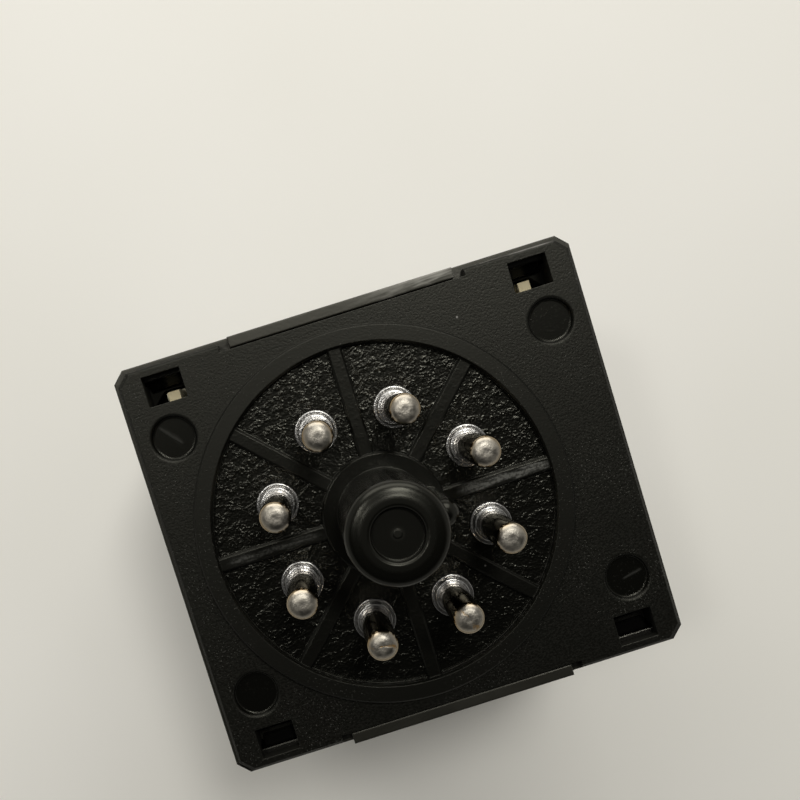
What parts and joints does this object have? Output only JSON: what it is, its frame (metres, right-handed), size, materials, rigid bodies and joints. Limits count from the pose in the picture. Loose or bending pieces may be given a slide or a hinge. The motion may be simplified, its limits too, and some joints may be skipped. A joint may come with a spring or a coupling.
{
  "type": "time delay relay",
  "caption": "Plug-in time delay relay with a keyed octal pin base, a plain rectangular case, a front setting knob, a range selector and indicator lenses.",
  "frame": {"origin": "on the floor under the middle of the case, as it stands on its knob with the pins up", "axes": "+Z along the pins, +X along the long side of the face towards the key, +Y along the short side"},
  "size_m": [0.04, 0.036, 0.0772],
  "materials": {
    "black_base": "fine spark-eroded grain, coarser in the recess",
    "pin_metal": "nickel plated brass",
    "black_case": "smooth satin",
    "knob_plastic": "satin",
    "shaft_metal": "turned",
    "pot_plastic": "moulded",
    "selector_plastic": "moulded",
    "switch_plastic": "moulded",
    "power_lens": "translucent",
    "output_lens": "translucent",
    "power_led": "diffused",
    "output_led": "diffused",
    "front_board": "solder resist",
    "main_board": "bare laminate",
    "pin_board": "solder resist",
    "solder": "solder",
    "tinned_wire": "tinned",
    "chip_body": "moulded",
    "tinned_legs": "tinned",
    "capacitor_sleeve": "shrunk sleeve",
    "film_box": "moulded box",
    "varistor_coat": "dipped coat",
    "resistor_coat": "lacquered",
    "tinned_leads": "tinned",
    "relay_base": "moulded",
    "relay_cover": "clear",
    "bobbin_plastic": "moulded",
    "winding": "enamelled wire",
    "core_iron": "turned",
    "yoke_iron": "zinc plated",
    "armature_iron": "zinc plated",
    "block_plastic": "moulded",
    "blade_metal": "spring strip with rivets",
    "contact_metal": "strip with rivets",
    "spring_steel": "drawn wire"
  },
  "bodies": {
    "housing": {"base": "black_base", "pin_1": "pin_metal", "pin_2": "pin_metal", "pin_3": "pin_metal", "pin_4": "pin_metal", "pin_5": "pin_metal", "pin_6": "pin_metal", "pin_7": "pin_metal", "pin_8": "pin_metal", "case": "black_case", "pot_body": "pot_plastic", "range_switch": "switch_plastic", "power_lens": "power_lens", "output_lens": "output_lens", "power_led": "power_led", "output_led": "output_led", "front_board": "front_board", "main_board": "main_board", "pin_board": "pin_board", "pin_joints": "solder", "board_links": "tinned_wire", "timer_chip": "chip_body", "chip_legs": "tinned_legs", "filter_capacitor": "capacitor_sleeve", "dropper_capacitor": "film_box", "varistor": "varistor_coat", "resistors": "resistor_coat", "component_leads": "tinned_leads", "relay_base": "relay_base", "relay_cover": "relay_cover", "relay_bobbin": "bobbin_plastic", "relay_winding": "winding", "relay_core": "core_iron", "relay_yoke": "yoke_iron", "closed_contacts": "contact_metal", "open_contacts": "contact_metal", "return_spring": "spring_steel"},
    "setting": {"knob": "knob_plastic", "pot_shaft": "shaft_metal"},
    "selector": {"range_selector": "selector_plastic"},
    "armature": {"relay_armature": "armature_iron", "armature_block": "block_plastic", "moving_contacts": "blade_metal"}
  },
  "joints": [
    {"name": "knob_turn", "type": "hinge", "parent": "housing", "child": "setting", "pos_m": [0, 0, 0.011], "axis": [0, 0, 1], "range_deg": [-150, 150]},
    {"name": "range_select", "type": "hinge", "parent": "housing", "child": "selector", "pos_m": [0.0142, 0, 0.011], "axis": [0, 0, 1], "range_deg": [-60, 60]},
    {"name": "armature_pull", "type": "hinge", "parent": "housing", "child": "armature", "pos_m": [0.0095, -0.0039, 0.0255], "axis": [-1, 0, 0], "range_deg": [0, 4.5], "stiffness_Nm_per_rad": 0.02, "springref_deg": -11.46}
  ]
}
